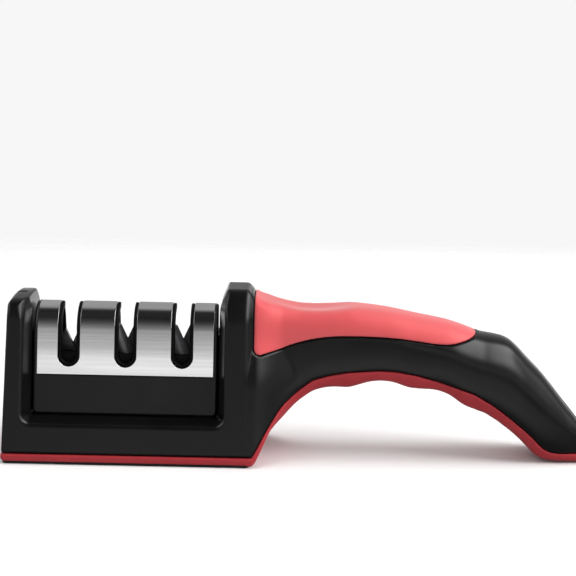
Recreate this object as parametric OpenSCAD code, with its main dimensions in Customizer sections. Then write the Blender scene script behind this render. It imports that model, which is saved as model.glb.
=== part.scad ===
/* [Overall] */
// Length of the whole sharpener, nose to tail
overall_len = 205; // [195:1:220]
// Height of the taller upright above the table
overall_h = 58.5; // [56:0.5:62]

/* [Base block] */
// Width of the red base tray, front to back
tray_w = 47; // [44:0.5:52]
// Height of the line where the tray meets the black body
tray_h = 3.5; // [3.3:0.1:4.2]
// How far the tray stands out past the black body
tray_proud = 0.4; // [0.2:0.1:0.8]
// Chamfer along the lower edge of the tray
tray_chamfer = 1.4; // [0.8:0.1:1.8]
// Slope of the front and rear faces of the block, in degrees
face_draft = 10.5; // [8:0.5:12]
// Slope of the nose end of the block, in degrees
nose_draft = 1.3; // [0.5:0.1:3]
// Height of the upright at the nose
nose_post_h = 54.6; // [52:0.2:56]
// Thickness of the upright at the nose
nose_post_t = 9.2; // [8.6:0.1:11]
// Thickness of the upright at the handle
arm_post_t = 11.9; // [11:0.1:14]
// Radius of the rounded edge at the top of the nose
nose_shoulder_r = 1.6; // [1:0.2:3]
// Chamfer of the taller upright towards the handle
arm_chamfer = 2.7; // [1.5:0.1:3.5]
// Radius of the shoulders that draw the uprights in at the front and rear
shoulder_r = 15.5; // [14.5:0.1:18]
// How far below the top those shoulders begin
shoulder_drop = 10.5; // [9.5:0.1:12]
// Wall of the black moulding
shell_wall = 2.4; // [2:0.1:2.8]

/* [Pocket between the uprights] */
// Height of the pocket floor
floor_h = 14.9; // [14:0.1:17]
// Gap between the cartridge and each upright
side_gap = 0.6; // [0.4:0.1:0.9]
// Gap between the cartridge and the pocket floor
floor_gap = 0.3; // [0.2:0.1:0.5]
// Width of the sloped border beside the cartridge
border_w = 2.4; // [1.5:0.1:3]
// Height of the sloped border below the cartridge
border_drop = 1.8; // [1:0.1:2.5]
// Radius of the lower corners of the sloped border
border_r = 3.4; // [2.5:0.1:4.5]
// Width of the guide rib on each upright
rib_w = 5; // [4:0.5:7]
// How far the guide rib stands into the pocket
rib_t = 2; // [1.5:0.1:2.4]
// Height of the guide ribs above the table
rib_top_h = 44.8; // [38:0.2:46]

/* [Cartridge] */
// Width of the openings in the rear half of the cartridge
rear_slot_w = 11.2; // [10:0.2:12]
// How much shorter the rear half is at each end, above the guide ribs
rear_relief = 0.7; // [0.5:0.1:1]
// Length of the cartridge
cartridge_len = 62.7; // [61:0.1:68]
// Height of the crown of the steel cover above the table
crown_h = 52.05; // [50:0.1:53]
// Radius of the steel cover over the crown
crown_r = 9.6; // [9:0.1:10.5]
// Slope of the cartridge faces, in degrees
panel_draft = 9.5; // [8:0.5:11]
// Plastic cheek beyond each end of the steel cover
cheek_t = 1.25; // [0.8:0.05:1.4]
// Thickness of the steel sheet
cover_t = 0.5; // [0.4:0.1:0.8]
// Steel left below each slot of the cover
cover_skirt = 2.6; // [1.5:0.1:3]
// Distance between the knife slots
slot_pitch = 19.35; // [18.5:0.05:19.6]
// Width of the slots in the steel cover
steel_slot_w = 7.6; // [6.6:0.1:8.4]
// Height of the lowest point of the slots in the steel cover
steel_slot_low_h = 31.3; // [31:0.1:34]
// Width of the slots in the plastic
lip_slot_w = 5.05; // [4.6:0.05:5.6]
// Wall of the cartridge halves
half_wall = 1.8; // [1.6:0.1:2.2]
// Gap between the steel cover and the plastic under it
cover_gap = 0.1; // [0.05:0.05:0.2]

/* [Blades and rods] */
// Half of the angle of each V, in degrees
vee_half = 24.5; // [20:0.5:28]
// Height of the lowest point of the coarse V
coarse_vee_h = 37.6; // [36.5:0.1:39]
// Height of the lowest point of the medium and fine V
rod_vee_h = 40; // [38:0.1:41]
// Diameter of the rods
rod_d = 5.6; // [4.6:0.1:5.8]
// Height of the upper ends of the rods, on their axes
rod_top_h = 44; // [43:0.2:44.6]
// Width of a carbide blade
blade_w = 6; // [5:0.2:6.4]
// Thickness of a carbide blade
blade_t = 2; // [1.5:0.1:2.4]
// Height of the upper corner of the carbide blades
blade_top_h = 42.5; // [41.5:0.1:43.5]

/* [Handle] */
// Width of the handle at its widest
handle_w = 26.6; // [24:0.2:30]
// Thickness of the soft top grip
grip_t = 2; // [1.5:0.1:2.4]
// Wall of the handle under the grip
handle_wall = 2.1; // [1.8:0.1:2.6]
// Floor of the red strip under the handle
strip_t = 2.2; // [1.8:0.1:2.6]
// Seam between pieces that are fixed together
seam = 0.1; // [0.05:0.05:0.2]

/* [Fasteners and pad] */
// Diameter of the base and handle screws
screw_d = 3; // [2.6:0.1:3.2]
// Diameter of the base and handle screw heads
screw_head_d = 5.4; // [5:0.1:6]
// Thickness of the screw heads
screw_head_t = 1.1; // [0.9:0.1:1.3]
// Diameter of the cartridge screws
small_screw_d = 2.2; // [2:0.1:2.4]
// Diameter of the cartridge screw heads
small_head_d = 4; // [3.6:0.1:4.2]
// Thickness of the base pad
pad_t = 1.4; // [1:0.1:1.6]
// How far the base pad stands out below the tray
pad_proud = 0.3; // [0.2:0.1:0.5]

/* [Hidden] */
overrun = 1;
fine_fn = 48;
arc_steps = 6;
ring_steps = 24;
loft_steps = 38;
bore_gap = 0.05;

// Places along the object, measured from its middle
x_nose = -overall_len/2;
pocket_len = cartridge_len + 2*side_gap;
x_pocket_low = x_nose + nose_post_t;
x_pocket_high = x_pocket_low + pocket_len;
x_root = x_pocket_high + arm_post_t;
x_tail = overall_len/2;
handle_len = x_tail - x_root;
x_mid = (x_pocket_low + x_pocket_high)/2;

// Half widths of the black block at any height, and its faces
black_half_w = tray_w/2 - tray_proud;
shoulder_low_h = overall_h - shoulder_drop;
function face_y(z) = black_half_w - (z - tray_h)*tan(face_draft);
shoulder_y = face_y(shoulder_low_h) - shoulder_r*cos(face_draft);
shoulder_z = shoulder_low_h - shoulder_r*sin(face_draft);
function block_y(z) =
    z < shoulder_low_h ? face_y(z) : shoulder_y + sqrt(pow(shoulder_r, 2) - pow(z - shoulder_z, 2));

// Slopes on the inner sides of the uprights
nose_slope_run = 1.7;
nose_slope_drop = 4;
arm_slope_run = 2.2;
arm_slope_drop = 6.2;

// The cartridge section: an arch with sloped sides
cart_low_h = floor_h + floor_gap;
arch_h = crown_h - crown_r;
cover_low_h = steel_slot_low_h - cover_skirt;
function side_y(z, inset) = (crown_r - inset)/cos(panel_draft) - (z - arch_h)*tan(panel_draft);

// Lines of the handle in side view, as shares of its length and of the overall height
crown_line_shares = [
    [-0.03, 0.991], [0, 0.99], [0.018, 0.959], [0.042, 0.938], [0.071, 0.923], [0.106, 0.906],
    [0.146, 0.899], [0.196, 0.901], [0.254, 0.909], [0.296, 0.907], [0.333, 0.899], [0.421, 0.87],
    [0.508, 0.837], [0.582, 0.803], [0.638, 0.768], [0.682, 0.747], [0.713, 0.73], [0.733, 0.706],
    [0.758, 0.663], [0.828, 0.521], [0.871, 0.419], [0.917, 0.313], [0.954, 0.208], [0.979, 0.147],
    [0.994, 0.113], [1, 0.089]];
joint_line_shares = [
    [-0.03, 0.06], [-0.008, 0.062], [0.004, 0.082], [0.018, 0.12], [0.038, 0.185], [0.078, 0.325],
    [0.123, 0.42], [0.166, 0.489], [0.216, 0.521], [0.273, 0.538], [0.355, 0.55], [0.409, 0.545],
    [0.465, 0.527], [0.52, 0.497], [0.576, 0.461], [0.631, 0.419], [0.675, 0.369], [0.713, 0.318],
    [0.743, 0.267], [0.778, 0.21], [0.807, 0.157], [0.83, 0.109], [0.853, 0.082], [0.88, 0.072],
    [0.938, 0.072], [1.01, 0.073]];
under_line_shares = [
    [-0.03, 0.007], [0, 0.039], [0.018, 0.079], [0.042, 0.154], [0.062, 0.219], [0.096, 0.297],
    [0.123, 0.357], [0.167, 0.426], [0.211, 0.45], [0.274, 0.453], [0.303, 0.47], [0.33, 0.485],
    [0.365, 0.491], [0.398, 0.485], [0.426, 0.467], [0.454, 0.451], [0.483, 0.446], [0.523, 0.446],
    [0.55, 0.427], [0.584, 0.379], [0.613, 0.357], [0.638, 0.34], [0.665, 0.315], [0.693, 0.275],
    [0.736, 0.208], [0.794, 0.098], [0.81, 0.062], [0.825, 0.032], [0.846, 0.013], [0.878, 0.003],
    [0.913, 0], [0.979, 0], [0.996, 0.012], [1, 0.03]];
grip_line_shares = [
    [0.013, 0.625], [0.046, 0.651], [0.074, 0.673], [0.103, 0.696], [0.131, 0.715], [0.159, 0.732],
    [0.2, 0.749], [0.243, 0.756], [0.3, 0.757], [0.357, 0.752], [0.414, 0.745], [0.471, 0.73],
    [0.513, 0.718], [0.551, 0.713], [0.571, 0.72], [0.598, 0.74], [0.621, 0.764], [0.64, 0.79]];
half_width_shares = [
    [-0.03, 0.94], [0.1, 0.94], [0.25, 0.92], [0.45, 0.96], [0.6, 1], [0.75, 0.97], [0.87, 0.88],
    [0.93, 0.82], [0.965, 0.74], [0.985, 0.62], [0.995, 0.5], [1, 0.42]];

// How the handle's section changes from the block's to its own
flare_top_share = 0.08;
flare_low_share = 0.2;
flare_turn_share = 0.4;
root_power = 8;
low_power = 2.8;
top_power = 2.6;
dish_power = 1.6;
dish_share = 0.19;
dish_reach_share = 0.12;
loft_start_share = -0.02;
cavity_start_share = 0.03;
cavity_end_share = 0.88;
line_end_share = 1.01;

function mix_to(a, b, t) = a + (b - a)*t;
function eased(t) = let (c = max(0, min(1, t))) c*c*(3 - 2*c);
function slope_at(line, i) =
    let (a = max(0, i - 1), b = min(len(line) - 1, i + 1))
    (line[b][1] - line[a][1])/(line[b][0] - line[a][0]);
function piece_of(line, s, i = 0) =
    i >= len(line) - 2 || s < line[i + 1][0] ? i : piece_of(line, s, i + 1);
// Value of a line at share s, by a cubic through its points
function line_at(line, s) =
    let (
        i = piece_of(line, s), a = line[i], b = line[i + 1], span = b[0] - a[0],
        t = max(0, min(1, (s - a[0])/span)))
    (2*pow(t, 3) - 3*pow(t, 2) + 1)*a[1] + (pow(t, 3) - 2*t*t + t)*span*slope_at(line, i)
    + (3*t*t - 2*pow(t, 3))*b[1] + (pow(t, 3) - t*t)*span*slope_at(line, i + 1);
function crown_z(s) = overall_h*line_at(crown_line_shares, s);
function joint_z(s) = overall_h*line_at(joint_line_shares, s);
function under_z(s) = max(0, overall_h*line_at(under_line_shares, s));
function grip_z(s) = overall_h*line_at(grip_line_shares, s);
function handle_x(s) = x_root + handle_len*s;
function handle_half(s) = handle_w/2*line_at(half_width_shares, s);
// Half width at share s and height z, which grows from the block's to the handle's own
function flare_share(z) =
    mix_to(flare_low_share, flare_top_share, eased((z/overall_h - flare_turn_share)/flare_turn_share));
function half_at(s, z) = mix_to(block_y(z), handle_half(s), eased(s/flare_share(z)));
function upper_power(s) =
    mix_to(root_power, top_power + dish_power*exp(-pow((s - dish_share)/dish_reach_share, 2)),
        eased(s/flare_top_share));
function lower_power(s) = mix_to(root_power, low_power, eased(s/flare_low_share));
function rounded_part(v, power) = sign(v)*pow(abs(v), 2/power);

// One ring of the handle, drawn in by side, top and low, as points in space
function handle_ring(s, side, top, low) =
    let (
        z_high = crown_z(s) - top, z_low = under_z(s) + low,
        z_mid = (z_high + z_low)/2, rise = (z_high - z_low)/2)
    [for (k = [0 : ring_steps - 1])
        let (
            turn = 360*(k + 0.5)/ring_steps,
            power = sin(turn) > 0 ? upper_power(s) : lower_power(s),
            z = z_mid + rise*rounded_part(sin(turn), power),
            half = half_at(s, z) - side)
        [handle_x(s), half*rounded_part(cos(turn), power), z]];

function spread(t) = mix_to(t, (1 - cos(180*t))/2, 0.6);

module handle_loft(s_low, s_high, side = 0, top = 0, low = 0) {
    rings = [for (i = [0 : loft_steps])
        handle_ring(mix_to(s_low, s_high, spread(i/loft_steps)), side, top, low)];
    points = [for (ring = rings) each ring];
    skin = [for (i = [0 : loft_steps - 1], k = [0 : ring_steps - 1])
        let (
            a = i*ring_steps + k, b = i*ring_steps + (k + 1)%ring_steps,
            c = a + ring_steps, d = b + ring_steps)
        each [[a, c, b], [b, c, d]]];
    first = [for (k = [0 : ring_steps - 1]) k];
    last = [for (k = [0 : ring_steps - 1]) (loft_steps + 1)*ring_steps - 1 - k];
    polyhedron(points, concat(skin, [first, last]), convexity = 6);
}

// Points of one rounded corner p between its neighbours a and b
function corner(a, p, b, r) =
    r == 0 ? [p] :
    let (
        u = (a - p)/norm(a - p), v = (b - p)/norm(b - p),
        half = acos(u*v)/2, reach = r/tan(half),
        centre = p + (u + v)/norm(u + v)*r/sin(half),
        from = p + u*reach - centre, to = p + v*reach - centre,
        turn = atan2(from[0]*to[1] - from[1]*to[0], from*to))
    [for (i = [0 : arc_steps])
        let (w = turn*i/arc_steps)
        centre + [from[0]*cos(w) - from[1]*sin(w), from[0]*sin(w) + from[1]*cos(w)]];
// An outline whose corners [x, y, radius] are rounded
function rounded(marks) =
    let (n = len(marks))
    [for (i = [0 : n - 1])
        let (a = marks[(i + n - 1)%n], p = marks[i], b = marks[(i + 1)%n])
        each corner([a[0], a[1]], [p[0], p[1]], [b[0], b[1]], p[2])];

// Extrudes an outline drawn in X and Z across the whole width
module across(width, middle = 0) {
    translate([0, middle + width/2, 0])
        rotate([90, 0, 0])
            linear_extrude(width) children();
}
// Extrudes an outline drawn in Y and Z along X
module along(x_low, length) {
    translate([x_low, 0, 0])
        rotate([90, 0, 90])
            linear_extrude(length) children();
}
module mirrored_y() {
    children();
    mirror([0, 1, 0]) children();
}

// Outline of the block in side view
module block_side() {
    nose_x = x_nose + tray_proud;
    top_nose_x = nose_x + (nose_post_h - tray_h)*tan(nose_draft);
    polygon(rounded([
        [nose_x, tray_h, 0],
        [top_nose_x, nose_post_h, nose_shoulder_r],
        [x_pocket_low - nose_slope_run, nose_post_h, 0],
        [x_pocket_low, nose_post_h - nose_slope_drop, 0],
        [x_pocket_low, floor_h, 0],
        [x_pocket_high, floor_h, 0],
        [x_pocket_high, overall_h - arm_slope_drop, 0],
        [x_pocket_high + arm_slope_run, overall_h, 0],
        [x_root - arm_chamfer, overall_h, 0],
        [x_root, overall_h - arm_chamfer, 0],
        [x_root, tray_h, 0]]));
}
// Section of the block, with its shoulders
module block_end() {
    last_turn = asin((overall_h - shoulder_z)/shoulder_r);
    half = [for (i = [0 : 2*arc_steps])
        let (turn = mix_to(face_draft, last_turn, i/arc_steps/2))
        [shoulder_y + shoulder_r*cos(turn), shoulder_z + shoulder_r*sin(turn)]];
    polygon(concat(
        [[face_y(tray_h), tray_h]], half,
        [for (i = [len(half) - 1 : -1 : 0]) [-half[i][0], half[i][1]]],
        [[-face_y(tray_h), tray_h]]));
}
// Outline of the pocket in side view, grown by side and down by drop
module pocket_outline(side, drop, r) {
    polygon(rounded([
        [x_pocket_low - side, overall_h + overrun, 0],
        [x_pocket_low - side, floor_h - drop, r],
        [x_pocket_high + side, floor_h - drop, r],
        [x_pocket_high + side, overall_h + overrun, 0]]));
}
// A thin plate of the pocket outline lying on a sloped face
module border_plate(y_floor, draft, side, drop, r) {
    sheet_t = seam;
    translate([0, -y_floor, floor_h])
        rotate([-draft, 0, 0])
            translate([0, 0, -floor_h])
                across(sheet_t) pocket_outline(side, drop, r);
}
module pocket_border() {
    mirrored_y() hull() {
        border_plate(side_y(floor_h, 0), panel_draft, 0, 0, seam);
        border_plate(face_y(floor_h) + seam, face_draft, border_w, border_drop, border_r);
    }
}
cavity_top_drop = 4;
module block_cavity() {
    intersection() {
        across(tray_w) polygon([
            [x_nose + tray_proud + shell_wall, tray_h - overrun],
            [x_nose + tray_proud + shell_wall, nose_post_h - cavity_top_drop],
            [x_pocket_low - shell_wall, nose_post_h - cavity_top_drop],
            [x_pocket_low - shell_wall, floor_h - shell_wall],
            [x_pocket_high + shell_wall, floor_h - shell_wall],
            [x_pocket_high + shell_wall, overall_h - cavity_top_drop],
            [x_root - shell_wall, overall_h - cavity_top_drop],
            [x_root - shell_wall, tray_h - overrun]]);
        along(x_nose, overall_len) polygon([
            [-face_y(tray_h) + shell_wall, tray_h - overrun],
            [-face_y(shoulder_low_h) + shell_wall, shoulder_low_h],
            [-block_y(overall_h - cavity_top_drop) + shell_wall, overall_h - cavity_top_drop],
            [block_y(overall_h - cavity_top_drop) - shell_wall, overall_h - cavity_top_drop],
            [face_y(shoulder_low_h) - shell_wall, shoulder_low_h],
            [face_y(tray_h) - shell_wall, tray_h - overrun]]);
    }
}
module guide_ribs() {
    rib_h = rib_top_h - floor_h + shell_wall/2;
    for (x = [x_pocket_low - seam, x_pocket_high - rib_t])
        translate([x, -rib_w/2, rib_top_h - rib_h])
            cube([rib_t + seam, rib_w, rib_h]);
}

// Screw places: four under the block, two under the handle
base_screw_inset = 16;
base_screw_half = 13;
base_screw_spots = [
    for (x = [x_pocket_low + base_screw_inset/2, x_pocket_high - base_screw_inset/2],
        y = [-base_screw_half, base_screw_half]) [x, y]];
handle_screw_shares = [0.365, 0.9];
boss_d = 2*screw_d;
base_head_h = pad_t + seam;
base_screw_len = 8;
handle_screw_len = 12;
head_sink = 0.5;
boss_top_drop = grip_t + handle_wall/2;

module at_base_screws() {
    for (spot = base_screw_spots) translate([spot[0], spot[1], 0]) children();
}

// The region of the side view above a handle line, from s_low to s_high
module above_line(kind, s_low, s_high, shift) {
    steps = 60;
    across(tray_w + 2*overrun) polygon(concat(
        [for (i = [0 : steps])
            let (s = mix_to(s_low, s_high, i/steps))
            [handle_x(s), (kind == "joint" ? joint_z(s) : grip_z(s)) + shift]],
        [[handle_x(s_high), overall_h + overrun], [handle_x(s_low), overall_h + overrun]]));
}
grip_low_share = 0.013;
grip_high_share = 0.64;
grip_corner_drop = 2;
// The region that the top grip covers; grow widens it by the seam
module grip_region(grow) {
    above_line("grip", grip_low_share, grip_high_share, -grow);
    across(tray_w + 2*overrun) polygon([
        [x_root + seam - grow, overall_h + overrun],
        [x_root + seam - grow, grip_z(grip_low_share) + grip_corner_drop - grow],
        [handle_x(grip_low_share), grip_z(grip_low_share) - grow],
        [handle_x(grip_low_share) + overrun, grip_z(grip_low_share) + grip_corner_drop],
        [handle_x(grip_low_share) + overrun, overall_h + overrun]]);
}
module handle_cavity() {
    handle_loft(cavity_start_share, cavity_end_share, side = grip_t + handle_wall,
        top = grip_t + handle_wall, low = strip_t);
}

slit_len = 5.4;
slit_w = 0.5;
slit_y = 3.8;
module body_shell() {
    color([0.1, 0.1, 0.11]) difference() {
        union() {
            difference() {
                union() {
                    intersection() {
                        across(tray_w) block_side();
                        along(x_nose, x_root - x_nose) block_end();
                    }
                    difference() {
                        intersection() {
                            handle_loft(loft_start_share, 1);
                            above_line("joint", loft_start_share, line_end_share, seam/2);
                        }
                        difference() {
                            grip_region(seam);
                            handle_loft(loft_start_share, 1, grip_t, grip_t, grip_t);
                        }
                    }
                }
                pocket_border();
                block_cavity();
                handle_cavity();
            }
            guide_ribs();
            at_base_screws() translate([0, 0, tray_h + seam])
                cylinder(h = floor_h - shell_wall/2 - tray_h - seam, d = boss_d, $fn = fine_fn);
            for (s = handle_screw_shares)
                if (s < cavity_end_share)
                    translate([handle_x(s), 0, under_z(s) + strip_t + seam])
                        cylinder(h = crown_z(s) - boss_top_drop - under_z(s) - strip_t - seam,
                            d = boss_d, $fn = fine_fn);
        }
        at_base_screws() translate([0, 0, tray_h - overrun])
            cylinder(h = base_screw_len, d = screw_d + 2*bore_gap, $fn = fine_fn);
        for (s = handle_screw_shares)
            translate([handle_x(s), 0, under_z(s)])
                cylinder(h = handle_screw_len + strip_t, d = screw_d + 2*bore_gap, $fn = fine_fn);
        translate([x_nose, slit_y, nose_post_h - slit_w])
            cube([nose_shoulder_r/2 + slit_len, slit_w, slit_w + overrun]);
    }
}

module tray_solid() {
    intersection() {
        across(tray_w) polygon([
            [x_nose + tray_chamfer, pad_proud], [x_nose, pad_proud + tray_chamfer],
            [x_nose, tray_h - seam/2], [x_root, tray_h - seam/2],
            [x_root - seam, pad_proud + tray_chamfer],
            [x_root - tray_chamfer, pad_proud]]);
        along(x_nose, overall_len) polygon([
            [-tray_w/2 + tray_chamfer/2, pad_proud], [-tray_w/2, pad_proud + tray_chamfer/2],
            [-tray_w/2, tray_h], [tray_w/2, tray_h],
            [tray_w/2, pad_proud + tray_chamfer/2], [tray_w/2 - tray_chamfer/2, pad_proud]]);
    }
}
pad_inset = 4;
module pad_plate(grow, height) {
    pad_len = x_root - x_nose - 2*pad_inset;
    pad_w = tray_w - 2*pad_inset;
    translate([x_nose + pad_inset - grow, -pad_w/2 - grow, 0])
        linear_extrude(height) polygon(rounded([
            [0, 0, pad_inset], [pad_len + 2*grow, 0, pad_inset],
            [pad_len + 2*grow, pad_w + 2*grow, pad_inset], [0, pad_w + 2*grow, pad_inset]]));
}
module bottom_frame() {
    color([0.62, 0.17, 0.18]) difference() {
        union() {
            tray_solid();
            difference() {
                handle_loft(loft_start_share, 1);
                above_line("joint", loft_start_share/2, line_end_share, -seam/2);
                translate([x_nose, -tray_w, tray_h - seam/2])
                    cube([x_root - x_nose, 2*tray_w, overall_h]);
            }
        }
        handle_cavity();
        translate([0, 0, -overrun]) pad_plate(seam, pad_t + seam + overrun);
        at_base_screws() {
            cylinder(h = tray_h + overrun, d = screw_d + 2*seam, $fn = fine_fn);
            cylinder(h = base_head_h + screw_head_t, d = screw_head_d + 2*seam, $fn = fine_fn);
        }
        for (s = handle_screw_shares) translate([handle_x(s), 0, under_z(s) - overrun]) {
            cylinder(h = handle_screw_len, d = screw_d + 2*seam, $fn = fine_fn);
            cylinder(h = overrun + head_sink + screw_head_t, d = screw_head_d + 2*seam, $fn = fine_fn);
            if (s < cavity_end_share)
                translate([0, 0, overrun + strip_t])
                    cylinder(h = handle_screw_len, d = boss_d + 2*seam, $fn = fine_fn);
        }
    }
}
module base_pad() {
    color([0.16, 0.16, 0.17]) pad_plate(0, pad_t);
}
module top_grip() {
    color([0.91, 0.38, 0.38]) difference() {
        intersection() {
            handle_loft(loft_start_share, 1);
            grip_region(0);
        }
        handle_loft(loft_start_share, 1, grip_t - seam, grip_t - seam, grip_t);
    }
}

// A screw that points up, with its head's lower face at zero
module screw(length, d, head_d, head_t) {
    recess_w = head_d/6;
    difference() {
        union() {
            cylinder(h = head_t, d = head_d, $fn = fine_fn);
            cylinder(h = length, d = d, $fn = fine_fn);
        }
        for (turn = [0, 90]) rotate([0, 0, turn])
            translate([-head_d/4, -recess_w/2, -overrun])
                cube([head_d/2, recess_w, overrun + head_t/2]);
    }
}
module base_screws() {
    color([0.75, 0.75, 0.77]) at_base_screws() translate([0, 0, base_head_h])
        screw(base_screw_len, screw_d, screw_head_d, screw_head_t - seam);
}
module handle_screws() {
    color([0.75, 0.75, 0.77]) for (s = handle_screw_shares)
        translate([handle_x(s), 0, under_z(s) + head_sink])
            screw(handle_screw_len, screw_d, screw_head_d, screw_head_t - seam);
}

// The cartridge section as an outline in Y and Z, drawn in by inset, down to low_h
module cart_section(inset, low_h) {
    r = crown_r - inset;
    steps = 4*arc_steps;
    polygon(concat(
        [[side_y(low_h, inset), low_h]],
        [for (i = [0 : steps])
            let (turn = mix_to(panel_draft, 180 - panel_draft, i/steps))
            [r*cos(turn), arch_h + r*sin(turn)]],
        [[-side_y(low_h, inset), low_h]]));
}
x_cart_low = x_mid - cartridge_len/2;
cover_len = cartridge_len - 2*cheek_t;
slot_places = [for (i = [-1 : 1]) x_mid + i*slot_pitch];
// A knife slot with a round bottom that runs right through
module slot_cut(x, width, low_h) {
    translate([x, 0, 0]) across(tray_w) {
        translate([0, low_h + width/2]) circle(d = width, $fn = fine_fn);
        translate([-width/2, low_h + width/2])
            square([width, overall_h - low_h]);
    }
}
lip_slot_low_h = steel_slot_low_h + (steel_slot_w - lip_slot_w)/2;
rear_slot_low_h = steel_slot_low_h - (rear_slot_w - steel_slot_w)/2;
tab_w = 3.6;
tab_depth = 1.4;
tab_h = cover_low_h + 2*cover_t;
tab_x = cover_len/2 - tab_w;
// The small tabs of the cover that hook into the plastic
module cover_tabs(grow) {
    for (side = [-1, 1])
        translate([x_mid + side*tab_x - tab_w/2 - grow, -side_y(tab_h, cover_t/2), tab_h - grow])
            cube([tab_w + 2*grow, tab_depth + cover_t/2 + grow, cover_t + 2*grow]);
}
module steel_cover() {
    color([0.8, 0.8, 0.81]) {
        difference() {
            along(x_mid - cover_len/2, cover_len) cart_section(0, cover_low_h);
            along(x_mid - cover_len/2 - overrun, cover_len + 2*overrun)
                cart_section(cover_t, cover_low_h - overrun);
            for (x = slot_places) slot_cut(x, steel_slot_w, steel_slot_low_h);
        }
        mirrored_y() cover_tabs(0);
    }
}

// Places of the cartridge screws: two low at the ends, two high between the slots
low_screw_share = 0.55;
high_screw_h = 40;
end_block = 8;
end_wall = 3.2;
chamber_low_h = 23;
low_screw_h = mix_to(cart_low_h, chamber_low_h, low_screw_share);
floor_t = 1.6;
post_d = 5.4;
divider_t = 1.6;
low_screw_x = cartridge_len/2 - end_block/2;
cart_screw_spots = [
    [x_mid - low_screw_x, low_screw_h], [x_mid + low_screw_x, low_screw_h],
    [x_mid - slot_pitch/2, high_screw_h], [x_mid + slot_pitch/2, high_screw_h]];
small_head_t = 1;
small_head_sink = 1.2;
screw_tip_depth = 6;
// Each screw points towards the front, from the rear face inwards
module at_cart_screws() {
    for (spot = cart_screw_spots) {
        head_y = side_y(spot[1], 0) - small_head_sink;
        $length = head_y + screw_tip_depth;
        translate([spot[0], head_y, spot[1]]) rotate([90, 0, 0]) children();
    }
}
module cartridge_half() {
    difference() {
        union() {
            difference() {
                along(x_cart_low, cartridge_len) cart_section(0, cart_low_h);
                along(x_cart_low + end_wall, cartridge_len - 2*end_wall)
                    cart_section(cover_t + cover_gap + half_wall, chamber_low_h);
                along(x_cart_low + end_block, cartridge_len - 2*end_block)
                    difference() {
                        cart_section(half_wall, cart_low_h - overrun);
                        translate([-tray_w/2, chamber_low_h - floor_t])
                            square([tray_w, overall_h]);
                    }
            }
            for (side = [-1, 1]) {
                intersection() {
                    translate([x_mid + side*slot_pitch/2 - divider_t/2, -tray_w/2, chamber_low_h - seam])
                        cube([divider_t, tray_w, overall_h]);
                    along(x_cart_low, cartridge_len) cart_section(2*cover_t, cart_low_h);
                }
                intersection() {
                    translate([x_mid + side*slot_pitch/2, tray_w/2, high_screw_h])
                        rotate([90, 0, 0]) cylinder(h = tray_w, d = post_d, $fn = fine_fn);
                    along(x_cart_low, cartridge_len) cart_section(2*cover_t, cart_low_h);
                }
            }
        }
        along(x_mid - cover_len/2 - cover_gap, cover_len + 2*cover_gap)
            difference() {
                cart_section(-overrun, cover_low_h - cover_gap);
                cart_section(cover_t + cover_gap, cover_low_h - 2*overrun);
            }
        for (x = slot_places) slot_cut(x, lip_slot_w, lip_slot_low_h);
        mirrored_y() cover_tabs(cover_gap);
        for (x = [x_cart_low - overrun, x_cart_low + cartridge_len - groove_depth])
            translate([x, -rib_w/2 - rib_gap, cart_low_h - overrun])
                cube([groove_depth + overrun, rib_w + 2*rib_gap,
                    rib_top_h + rib_gap - cart_low_h + overrun]);
        at_cart_screws() {
            cylinder(h = $length + seam, d = small_screw_d + 2*bore_gap, $fn = fine_fn);
            translate([0, 0, -overrun - small_head_sink])
                cylinder(h = overrun + small_head_sink + small_head_t, d = small_head_d + 2*seam, $fn = fine_fn);
        }
    }
}
rib_gap = 0.3;
groove_depth = rib_t + rib_gap - side_gap;
module cartridge_front() {
    color([0.12, 0.12, 0.13]) intersection() {
        cartridge_half();
        translate([-overall_len, -tray_w - seam/2, 0])
            cube([2*overall_len, tray_w, 2*overall_h]);
    }
}
module cartridge_rear() {
    color([0.12, 0.12, 0.13]) difference() {
        intersection() {
            cartridge_half();
            translate([-overall_len, seam/2, 0])
                cube([2*overall_len, tray_w, 2*overall_h]);
        }
        for (x = slot_places) slot_cut(x, rear_slot_w, rear_slot_low_h);
        for (x = [x_cart_low - overrun, x_cart_low + cartridge_len - rear_relief])
            translate([x, 0, rib_top_h + rib_gap])
                cube([rear_relief + overrun, tray_w, overall_h]);
    }
}
module cartridge_screws() {
    color([0.75, 0.75, 0.77]) at_cart_screws()
        screw($length, small_screw_d, small_head_d, small_head_t - seam);
}

// The seats that hold each pair at its angle
seat_half_w = 8.6;
seat_low_h = chamber_low_h + seam;
seat_drop = 2.6;
seat_high_h = coarse_vee_h - seat_drop;
seat_gap = 0.2;
seat_half_depth = side_y(seat_high_h, cover_t + cover_gap + half_wall) - seat_gap;
blade_head_y = seat_half_depth - seat_gap;
element_lift = 1.6;
rod_low_h = chamber_low_h + element_lift;
module seat_block(x) {
    translate([x - seat_half_w, -seat_half_depth, seat_low_h])
        cube([2*seat_half_w, 2*seat_half_depth, seat_high_h - seat_low_h]);
}
// Places its child, which points up, along the axis of a leaning element
module leaning(x, vee_h, offset, low_h) {
    drop = vee_h - low_h;
    translate([x - offset/cos(vee_half) + drop*tan(vee_half), 0, low_h])
        rotate([0, -vee_half, 0]) children();
}
module rod(x, grow, low_h, high_h) {
    rod_tip = rod_d/10;
    length = (high_h - low_h)/cos(vee_half);
    translate([0, -rod_d/2 - seam, 0])
        leaning(x, rod_vee_h, rod_d/2, low_h) {
            cylinder(h = length - rod_tip, d = rod_d + 2*grow, $fn = fine_fn);
            translate([0, 0, length - rod_tip - grow])
                cylinder(h = rod_tip, d1 = rod_d, d2 = rod_d - 2*rod_tip, $fn = fine_fn);
        }
}
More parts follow.
